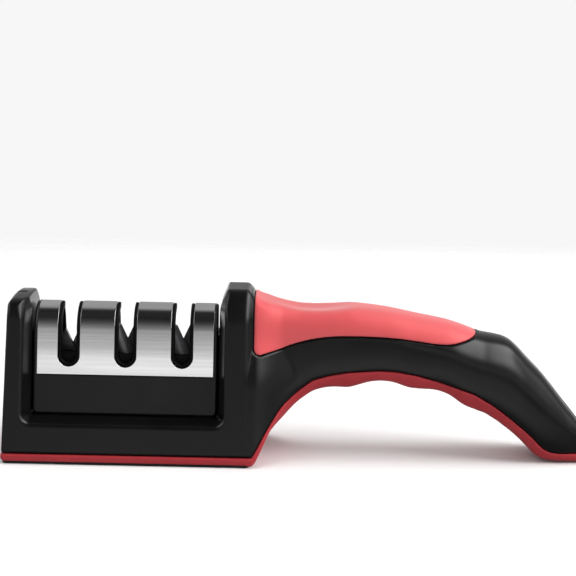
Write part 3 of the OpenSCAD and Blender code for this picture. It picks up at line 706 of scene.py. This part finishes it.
def makeSteelCover():
    points, faces = [], []
    rows = coverRows()
    middle, reach = cartridge["middle"], cartridge["coverHalf"]
    marks = [middle - reach, *slotPlaces(), middle + reach]
    last = len(marks) - 2
    count = cover["stripColumns"] + 1
    for strip in range(last + 1):
        base = len(points)
        for depth, height in rows:
            cut = slotHalfAt(height)
            low = marks[strip] + (cut if strip > 0 else 0)
            high = marks[strip + 1] - (cut if strip < last else 0)
            points += [(mixed(low, high, k / (count - 1)), depth, height) for k in range(count)]
        for i in range(len(rows) - 1):
            for k in range(count - 1):
                a = base + i * count + k
                faces.append((a, a + 1, a + count + 1, a + count))
    piece = newPiece("steelCover", points, faces)
    welded = bmesh.new()
    welded.from_mesh(piece.data)
    bmesh.ops.remove_doubles(welded, verts=welded.verts, dist=cover["weld"] * mm)
    bmesh.ops.recalc_face_normals(welded, faces=welded.faces)
    welded.to_mesh(piece.data)
    welded.free()
    thick = piece.modifiers.new("thick", "SOLIDIFY")
    thick.thickness = cartridge["coverThick"] * mm
    thick.offset = -1
    soft = piece.modifiers.new("soft", "BEVEL")
    soft.width = cover["bevel"] * mm
    soft.segments = cover["bevelSegments"]
    soft.limit_method = "ANGLE"
    soft.angle_limit = cover["bevelAngle"]
    soft.harden_normals = True
    piece.data.shade_smooth()
    return piece


steelCover = makeSteelCover()
print("cartridge and steel cover made")


# Materials


def newMaterial(name):
    material = bpy.data.materials.new(name)
    material.use_nodes = True
    nodes = material.node_tree.nodes
    nodes.clear()
    output = nodes.new("ShaderNodeOutputMaterial")
    shader = nodes.new("ShaderNodeBsdfPrincipled")
    material.node_tree.links.new(shader.outputs["BSDF"], output.inputs["Surface"])
    return material, nodes, material.node_tree.links, shader


def newGroup(name, inputs):
    # a group that puts out a height for bumps and a tone for colours
    group = bpy.data.node_groups.new(name, "ShaderNodeTree")
    for label, value in inputs.items():
        socket = group.interface.new_socket(label, in_out="INPUT", socket_type="NodeSocketFloat")
        socket.default_value = value
    for label in ("Height", "Tone"):
        group.interface.new_socket(label, in_out="OUTPUT", socket_type="NodeSocketFloat")
    return group, group.nodes.new("NodeGroupInput"), group.nodes.new("NodeGroupOutput")


def feed(tree, socket, value):
    # sets a constant straight on the socket, or links what comes from another node
    if isinstance(value, (int, float, tuple)):
        socket.default_value = value
    else:
        tree.links.new(value, socket)


def setInputs(node, values):
    for label, value in values.items():
        node.inputs[label].default_value = value


def mathNode(tree, operation, *values, clamp=False):
    node = tree.nodes.new("ShaderNodeMath")
    node.operation = operation
    node.use_clamp = clamp
    for socket, value in zip(node.inputs, values):
        feed(tree, socket, value)
    return node.outputs[0]


def vectorProduct(tree, first, second):
    node = tree.nodes.new("ShaderNodeVectorMath")
    node.operation = "MULTIPLY"
    feed(tree, node.inputs[0], first)
    feed(tree, node.inputs[1], second)
    return node.outputs[0]


def noiseNode(tree, vector, values):
    node = tree.nodes.new("ShaderNodeTexNoise")
    setInputs(node, values)
    tree.links.new(vector, node.inputs["Vector"])
    return node


def grainGroup():
    # fine moulded texture, with a slow change of tone
    group, start, end = newGroup("mouldedGrain", {"Scale": 2500.0, "Slow Scale": 60.0})
    place = group.nodes.new("ShaderNodeTexCoord")
    fine = noiseNode(group, place.outputs["Object"], {"Detail": 3, "Roughness": 0.6})
    slow = noiseNode(group, place.outputs["Object"], {"Detail": 4})
    group.links.new(start.outputs["Scale"], fine.inputs["Scale"])
    group.links.new(start.outputs["Slow Scale"], slow.inputs["Scale"])
    group.links.new(fine.outputs["Fac"], end.inputs["Height"])
    group.links.new(slow.outputs["Fac"], end.inputs["Tone"])
    return group


def brushedGroup():
    # long thin streaks along x, with a broader change of tone
    group, start, end = newGroup("brushedStreaks", {"Length": 12.0, "Fineness": 1600.0})
    place = group.nodes.new("ShaderNodeTexCoord")
    stretch = group.nodes.new("ShaderNodeCombineXYZ")
    for label, axis in (("Length", "X"), ("Fineness", "Y"), ("Fineness", "Z")):
        group.links.new(start.outputs[label], stretch.inputs[axis])
    scaled = vectorProduct(group, place.outputs["Object"], stretch.outputs[0])
    broad = vectorProduct(group, scaled, (0.6, 0.12, 0.12))
    fine = noiseNode(group, scaled, {"Scale": 1, "Detail": 4})
    slow = noiseNode(group, broad, {"Scale": 1, "Detail": 3})
    group.links.new(fine.outputs["Fac"], end.inputs["Height"])
    group.links.new(slow.outputs["Fac"], end.inputs["Tone"])
    return group


mouldedGrain = grainGroup()
brushedStreaks = brushedGroup()

# most of a noise lies between these values
noiseRange = (0.25, 0.75)
toneRange = (0.3, 0.7)


def placeGroup(nodes, group, values):
    node = nodes.new("ShaderNodeGroup")
    node.node_tree = group
    setInputs(node, values)
    return node


def spread(nodes, links, source, low, high):
    # maps a noise to the range from low to high
    node = nodes.new("ShaderNodeMapRange")
    setInputs(node, {"From Min": noiseRange[0], "From Max": noiseRange[1], "To Min": low, "To Max": high})
    links.new(source, node.inputs["Value"])
    return node.outputs["Result"]


def toneColour(nodes, links, source, dark, light):
    ramp = nodes.new("ShaderNodeValToRGB")
    for element, position, colour in zip(ramp.color_ramp.elements, toneRange, (dark, light)):
        element.position = position
        element.color = (*colour, 1)
    links.new(source, ramp.inputs["Fac"])
    return ramp.outputs["Color"]


def bumped(nodes, links, height, shader, strength, distance):
    bump = nodes.new("ShaderNodeBump")
    setInputs(bump, {"Strength": strength, "Distance": distance})
    links.new(height, bump.inputs["Height"])
    links.new(bump.outputs["Normal"], shader.inputs["Normal"])


def plasticMaterial(name, look):
    material, nodes, links, shader = newMaterial(name)
    scales = {"Scale": look["grainScale"], "Slow Scale": look["slowScale"]}
    grain = placeGroup(nodes, mouldedGrain, scales)
    tone = grain.outputs["Tone"]
    links.new(toneColour(nodes, links, tone, look["dark"], look["light"]), shader.inputs["Base Color"])
    links.new(spread(nodes, links, tone, *look["roughness"]), shader.inputs["Roughness"])
    bumped(nodes, links, grain.outputs["Height"], shader, look["bump"], look["bumpDepth"])
    setInputs(shader, {"Specular IOR Level": look["specular"], "Metallic": look.get("metallic", 0)})
    shader.inputs["Sheen Weight"].default_value = look.get("sheen", 0)
    return material


satinBlack = plasticMaterial("satinBlack", {
    "dark": (0.0028, 0.0028, 0.003), "light": (0.004, 0.004, 0.0042), "roughness": (0.2, 0.26),
    "grainScale": 2600, "slowScale": 70, "bump": 0.35, "bumpDepth": 0.00006, "specular": 0.22})
cartridgeBlack = plasticMaterial("cartridgeBlack", {
    "dark": (0.005, 0.005, 0.0052), "light": (0.0066, 0.0066, 0.0068), "roughness": (0.28, 0.36),
    "grainScale": 3000, "slowScale": 90, "bump": 0.3, "bumpDepth": 0.00005, "specular": 0.22})
# painted shade: a darker black for the slot lips, where the slot walls shade them
lipShadeBlack = plasticMaterial("lipShadeBlack", {
    "dark": (0.0012, 0.0012, 0.0013), "light": (0.002, 0.002, 0.0021), "roughness": (0.4, 0.5),
    "grainScale": 3000, "slowScale": 90, "bump": 0.3, "bumpDepth": 0.00005, "specular": 0.05})
softRed = plasticMaterial("softRed", {
    "dark": (0.45, 0.042, 0.046), "light": (0.51, 0.051, 0.056), "roughness": (0.46, 0.54),
    "grainScale": 3200, "slowScale": 50, "bump": 0.2, "bumpDepth": 0.00005, "specular": 0.5,
    "sheen": 0.25})
frameRed = plasticMaterial("frameRed", {
    "dark": (0.27, 0.02, 0.026), "light": (0.32, 0.026, 0.032), "roughness": (0.42, 0.5),
    "grainScale": 2800, "slowScale": 60, "bump": 0.25, "bumpDepth": 0.00005, "specular": 0.18})
# partly painted shade: the pad's rubber is made very dark so that its edge paints the contact shade under
# the red frame
padRubberAndShade = plasticMaterial("padRubberAndShade", {
    "dark": (0.006, 0.006, 0.0065), "light": (0.01, 0.01, 0.0105), "roughness": (0.75, 0.88),
    "grainScale": 1500, "slowScale": 120, "bump": 0.5, "bumpDepth": 0.0001, "specular": 0.3})
carbideGrey = plasticMaterial("carbideGrey", {
    "dark": (0.06, 0.06, 0.063), "light": (0.1, 0.1, 0.104), "roughness": (0.25, 0.36),
    "grainScale": 4000, "slowScale": 200, "bump": 0.15, "bumpDepth": 0.00003, "specular": 0.5,
    "metallic": 0.8})
diamondGrey = plasticMaterial("diamondGrey", {
    "dark": (0.05, 0.05, 0.052), "light": (0.16, 0.16, 0.165), "roughness": (0.3, 0.5),
    "grainScale": 5200, "slowScale": 3800, "bump": 0.6, "bumpDepth": 0.00006, "specular": 0.5,
    "metallic": 0.5})
ceramicGrey = plasticMaterial("ceramicGrey", {
    "dark": (0.06, 0.06, 0.064), "light": (0.08, 0.08, 0.084), "roughness": (0.22, 0.3),
    "grainScale": 4200, "slowScale": 150, "bump": 0.1, "bumpDepth": 0.00003, "specular": 0.5})
screwZinc = plasticMaterial("screwZinc", {
    "dark": (0.5, 0.5, 0.51), "light": (0.62, 0.62, 0.63), "roughness": (0.25, 0.38),
    "grainScale": 4000, "slowScale": 400, "bump": 0.15, "bumpDepth": 0.00003, "specular": 0.5,
    "metallic": 1})
seatBlack = plasticMaterial("seatBlack", {
    "dark": (0.002, 0.002, 0.0021), "light": (0.004, 0.004, 0.0041), "roughness": (0.55, 0.65),
    "grainScale": 2600, "slowScale": 110, "bump": 0.3, "bumpDepth": 0.00005, "specular": 0.08})


def brushedSteelMaterial():
    material, nodes, links, shader = newMaterial("brushedSteel")
    streaks = placeGroup(nodes, brushedStreaks, {"Length": 14, "Fineness": 1500})
    colour = toneColour(nodes, links, streaks.outputs["Tone"], (0.54, 0.54, 0.545), (0.74, 0.74, 0.74))
    links.new(colour, shader.inputs["Base Color"])
    links.new(spread(nodes, links, streaks.outputs["Height"], 0.1, 0.18), shader.inputs["Roughness"])
    bumped(nodes, links, streaks.outputs["Height"], shader, 0.12, 0.00003)
    shader.inputs["Metallic"].default_value = 1
    return material


brushedSteel = brushedSteelMaterial()


def paint(piece, material):
    piece.data.materials.clear()
    piece.data.materials.append(material)


def dress(piece, material, slotName, body, *replaced):
    paint(piece, material)
    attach(piece, body)
    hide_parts(*replaced)


def paintLipShade(piece):
    # painted shade: the slot lips get a darker, duller black of their own, standing in for the shade
    # inside the slots
    piece.data.materials.append(lipShadeBlack)
    low = cartridge["steelSlotLow"] - cartridge["coverGap"]
    for face in piece.data.polygons:
        spot = face.center / mm
        half = slotHalfAt(spot.z) + cartridge["coverGap"]
        near = min(abs(spot.x - place) for place in slotPlaces())
        if spot.z > low and near < half:
            face.material_index = 1


dress(bodyShell, satinBlack, "black_body", "body", "body_shell")
dress(bottomFrame, frameRed, "red_frame", "body", "bottom_frame")
dress(basePad, padRubberAndShade, "pad_rubber", "body", "base_pad")
dress(topGrip, softRed, "red_grip", "body", "top_grip")
dress(cartridgeFront, cartridgeBlack, "black_cartridge", "cartridge", "cartridge_front")
dress(cartridgeRear, cartridgeBlack, "black_cartridge", "cartridge", "cartridge_rear")
dress(steelCover, brushedSteel, "brushed_cover", "cartridge", "steel_cover")
paintLipShade(cartridgeFront)

# what scene.py keeps from the solids as it is
kept = {
    "base_screws": screwZinc,
    "handle_screws": screwZinc,
    "cartridge_screws": screwZinc,
    "blade_screw": screwZinc,
    "coarse_seat": seatBlack,
    "medium_seat": seatBlack,
    "fine_seat": seatBlack,
    "carbide_blade_front": carbideGrey,
    "carbide_blade_rear": carbideGrey,
    "diamond_rod_front": diamondGrey,
    "diamond_rod_rear": diamondGrey,
    "ceramic_rod_front": ceramicGrey,
    "ceramic_rod_rear": ceramicGrey,
}
for node, material in kept.items():
    paint(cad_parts[node], material)
print("materials placed")


# Floor and light: a pale table, a large lamp overhead, one at the right, and a sky for gloss and fill

studio = {
    "lampPlace": (0, 0.12, 1.2),
    "lampSize": 0.5,
    "lampPower": 5.2,
    "rightPlace": (1, -0.2, 0.5),
    "rightSize": 0.5,
    "rightPower": 13,
    "fill": 0.8,
    "backdrop": 0.93,
    "floorColour": (0.78, 0.78, 0.78),
    "floorRadius": 1.1,
    "floorSides": 96,
    "floorShade": 0.99,
    "floorGrain": {"Scale": 300, "Slow Scale": 6},
    "floorRoughness": 0.6,
    "floorSpecular": 0.1,
    "floorFade": (0.5, 0.385),
    "rimFade": (1.08, 0.6),
    "rightBox": (0.2, 0.45, 8.5),
    "rightBoxEnd": (0.85, 0.6),
    "rightBoxRest": 0.25,
    "leftBox": (0.3, 0.7, 3),
    "boxAbove": (0.14, 0.5),
    "boxBehind": (0.45, 0.1),
    "glowBase": 0.22,
    "glowPeak": 1.05,
    "glowAlong": [(-0.125, -0.075), (0.15, 0.08)],
    "glowAcross": [(-0.215, -0.12), (-0.028, -0.062)],
    "glowBehind": (0.15, 0.35),
    "glossStops": [
        (0, 1.4), (3, 1.34), (4, 1.22), (5, 1.22), (6, 1.1), (6.7, 0.7), (7.5, 0.4), (9, 0.34),
        (14, 0.28), (20, 0.23), (28, 0.15), (38, 0.07), (46, 0.035), (55, 0.015), (86, 0.015),
        (95, 0.05), (104, 0.32), (112, 0.46), (135, 0.48), (160, 0.44), (172, 0.4), (180, 1)],
}


def softStep(tree, source, start, end):
    # 0 at start and 1 at end, with a soft turn between them
    node = tree.nodes.new("ShaderNodeMapRange")
    node.interpolation_type = "SMOOTHSTEP"
    setInputs(node, {"From Min": min(start, end), "From Max": max(start, end)})
    setInputs(node, {"To Min": int(start > end), "To Max": int(start < end)})
    tree.links.new(source, node.inputs["Value"])
    return node.outputs["Result"]


def mixShaders(tree, share, first, second):
    node = tree.nodes.new("ShaderNodeMixShader")
    for socket, source in zip(node.inputs, (share, first, second)):
        tree.links.new(source, socket)
    return node.outputs[0]


def makeFloor():
    # a round table that fades out behind; gloss sees a glow on it in place of its own colour
    reach, sides = studio["floorRadius"], studio["floorSides"]
    turns = [2 * math.pi * k / sides for k in range(sides)]
    mesh = bpy.data.meshes.new("tableTop")
    points = [(reach * math.cos(turn), reach * math.sin(turn), 0) for turn in turns]
    mesh.from_pydata(points, [], [tuple(range(sides))])
    floor = bpy.data.objects.new("tableTop", mesh)
    bpy.context.scene.collection.objects.link(floor)
    material, nodes, links, shader = newMaterial("paleTable")
    tree = material.node_tree
    grain = placeGroup(nodes, mouldedGrain, studio["floorGrain"])
    light = studio["floorColour"]
    dark = [value * studio["floorShade"] for value in light]
    links.new(toneColour(nodes, links, grain.outputs["Tone"], dark, light), shader.inputs["Base Color"])
    shader.inputs["Roughness"].default_value = studio["floorRoughness"]
    shader.inputs["Specular IOR Level"].default_value = studio["floorSpecular"]
    place = nodes.new("ShaderNodeTexCoord")
    parts = nodes.new("ShaderNodeSeparateXYZ")
    outward = nodes.new("ShaderNodeVectorMath")
    outward.operation = "LENGTH"
    for node in (parts, outward):
        links.new(place.outputs["Object"], node.inputs[0])
    fade = softStep(tree, parts.outputs["Y"], *studio["floorFade"])
    rimFade = softStep(tree, outward.outputs["Value"], *studio["rimFade"])
    links.new(mathNode(tree, "MULTIPLY", fade, rimFade), shader.inputs["Alpha"])
    # painted reflection: gloss sees the table glow, brightest in a band in front of the object and again
    # far behind it, and dim close to and under the object as painted shade
    glow = studio["glowPeak"]
    for axis, steps in (("X", studio["glowAlong"]), ("Y", studio["glowAcross"])):
        for step in steps:
            glow = mathNode(tree, "MULTIPLY", softStep(tree, parts.outputs[axis], *step), glow)
    glow = mathNode(tree, "ADD", glow, softStep(tree, parts.outputs["Y"], *studio["glowBehind"]))
    glow = mathNode(tree, "ADD", glow, studio["glowBase"])
    lit = nodes.new("ShaderNodeEmission")
    links.new(glow, lit.inputs["Strength"])
    ray = nodes.new("ShaderNodeLightPath")
    shown = mixShaders(tree, ray.outputs["Is Glossy Ray"], shader.outputs[0], lit.outputs[0])
    links.new(shown, nodes["Material Output"].inputs["Surface"])
    mesh.materials.append(material)


def makeLamp(name, place, size, power):
    # a soft round lamp that points at the middle of the table
    data = bpy.data.lights.new(name, "AREA")
    data.shape = "DISK"
    data.size = size
    data.energy = power
    lamp = bpy.data.objects.new(name, data)
    lamp.location = place
    lamp.rotation_euler = Vector(place).to_track_quat("Z", "Y").to_euler()
    lamp.visible_glossy = False
    bpy.context.scene.collection.objects.link(lamp)


def whiteSky(tree, strength):
    sky = tree.nodes.new("ShaderNodeBackground")
    sky.inputs["Color"].default_value = (1, 1, 1, 1)
    feed(tree, sky.inputs["Strength"], strength)
    return sky.outputs[0]


def skyRamp(tree, share, stops):
    # brightness by the angle from the front horizon over the top to the back horizon
    ramp = tree.nodes.new("ShaderNodeValToRGB")
    tree.links.new(share, ramp.inputs["Fac"])
    elements = ramp.color_ramp.elements
    strongest = max(value for angle, value in stops)
    for k, (angle, value) in enumerate(stops):
        element = elements[k] if k < 2 else elements.new(angle / 180)
        element.position = angle / 180
        element.color = (value / strongest,) * 3 + (1,)
    sky = tree.nodes.new("ShaderNodeBackground")
    sky.inputs["Strength"].default_value = strongest
    tree.links.new(ramp.outputs["Color"], sky.inputs["Color"])
    return sky.outputs[0]


def sideBoxes(tree, parts):
    # softboxes at the right and the left, in front of the object and above the table
    x, y, z = [parts.outputs[axis] for axis in "XYZ"]
    boxes = []
    for source, box in ((x, "rightBox"), (mathNode(tree, "MULTIPLY", x, -1), "leftBox")):
        start, end, strength = studio[box]
        boxes.append(mathNode(tree, "MULTIPLY", softStep(tree, source, start, end), strength))
    rest = studio["rightBoxRest"]
    ending = softStep(tree, x, *studio["rightBoxEnd"])
    ending = mathNode(tree, "MULTIPLY_ADD", ending, 1 - rest, rest)
    boxes[0] = mathNode(tree, "MULTIPLY", boxes[0], ending)
    strength = mathNode(tree, "ADD", *boxes)
    for source, edge in ((z, "boxAbove"), (y, "boxBehind")):
        strength = mathNode(tree, "MULTIPLY", strength, softStep(tree, source, *studio[edge]))
    return whiteSky(tree, strength)


def makeWorld():
    # gloss sees bands and softboxes, the camera an even backdrop, and the rest an even fill
    world = bpy.data.worlds.new("studioLight")
    bpy.context.scene.world = world
    world.use_nodes = True
    tree = world.node_tree
    tree.nodes.clear()
    output = tree.nodes.new("ShaderNodeOutputWorld")
    place = tree.nodes.new("ShaderNodeTexCoord")
    parts = tree.nodes.new("ShaderNodeSeparateXYZ")
    tree.links.new(place.outputs["Generated"], parts.inputs[0])
    toFront = mathNode(tree, "MULTIPLY", parts.outputs["Y"], -1)
    turn = mathNode(tree, "ARCTAN2", parts.outputs["Z"], toFront)
    share = mathNode(tree, "DIVIDE", turn, math.pi, clamp=True)
    gloss = tree.nodes.new("ShaderNodeAddShader")
    tree.links.new(skyRamp(tree, share, studio["glossStops"]), gloss.inputs[0])
    tree.links.new(sideBoxes(tree, parts), gloss.inputs[1])
    ray = tree.nodes.new("ShaderNodeLightPath")
    fill = whiteSky(tree, studio["fill"])
    light = mixShaders(tree, ray.outputs["Is Glossy Ray"], fill, gloss.outputs[0])
    backdrop = whiteSky(tree, studio["backdrop"])
    shown = mixShaders(tree, ray.outputs["Is Camera Ray"], light, backdrop)
    tree.links.new(shown, output.inputs["Surface"])


makeFloor()
makeLamp("overheadLamp", studio["lampPlace"], studio["lampSize"], studio["lampPower"])
makeLamp("rightLamp", studio["rightPlace"], studio["rightSize"], studio["rightPower"])
makeWorld()
bpy.context.scene.view_settings.view_transform = "Standard"
print("floor and light made")
